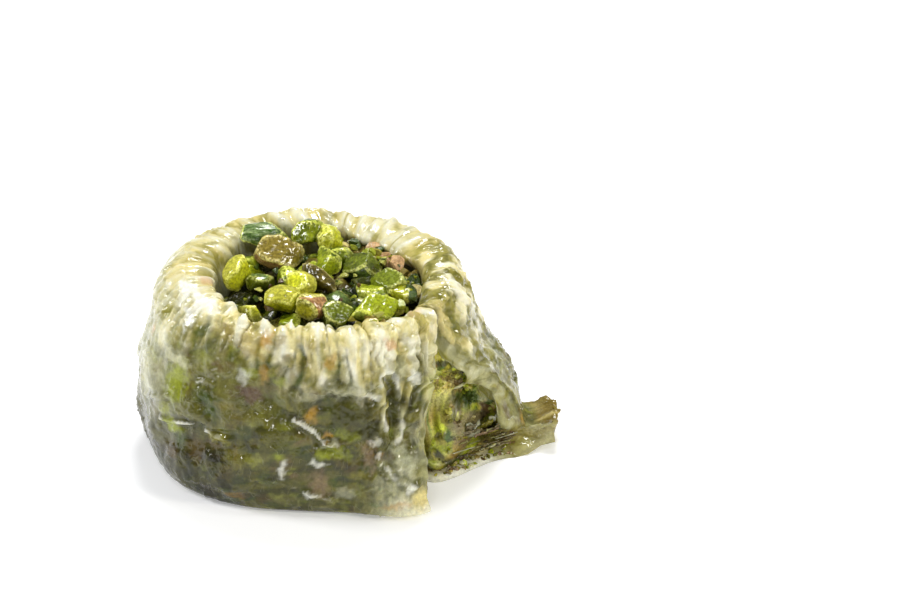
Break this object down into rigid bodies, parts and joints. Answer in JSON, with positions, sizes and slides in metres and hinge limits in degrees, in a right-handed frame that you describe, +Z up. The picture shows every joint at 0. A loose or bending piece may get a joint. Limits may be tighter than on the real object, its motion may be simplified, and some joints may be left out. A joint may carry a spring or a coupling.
{
  "type": "baklava piece",
  "caption": "Nest-shaped baklava piece: a pistachio-filled roll of soaked phyllo bent into an upright ring, its cup heaped with chopped pistachios.",
  "frame": {"origin": "middle of the underside of the cup, on the table", "axes": "+Z up; +X towards the splayed foot of the back end of the roll, along the piece's greatest length; +Y to the back, away from the picture's camera"},
  "size_m": [0.0685, 0.0521, 0.0324],
  "materials": {
    "phyllo": "thin syrup-soaked phyllo, glossy and half see-through, cream at the gathered rim and olive where the nuts show through",
    "ground_pistachio": "coarse ground pistachio, damp with syrup, olive to brown",
    "chopped_pistachio": "wet chopped pistachio kernels, yellow-green to deep green, some with brown and pink skin"
  },
  "bodies": {
    "root": {"phyllo_wrap": "phyllo", "pistachio_filling": "ground_pistachio", "pistachio_heap": "chopped_pistachio"}
  },
  "joints": []
}
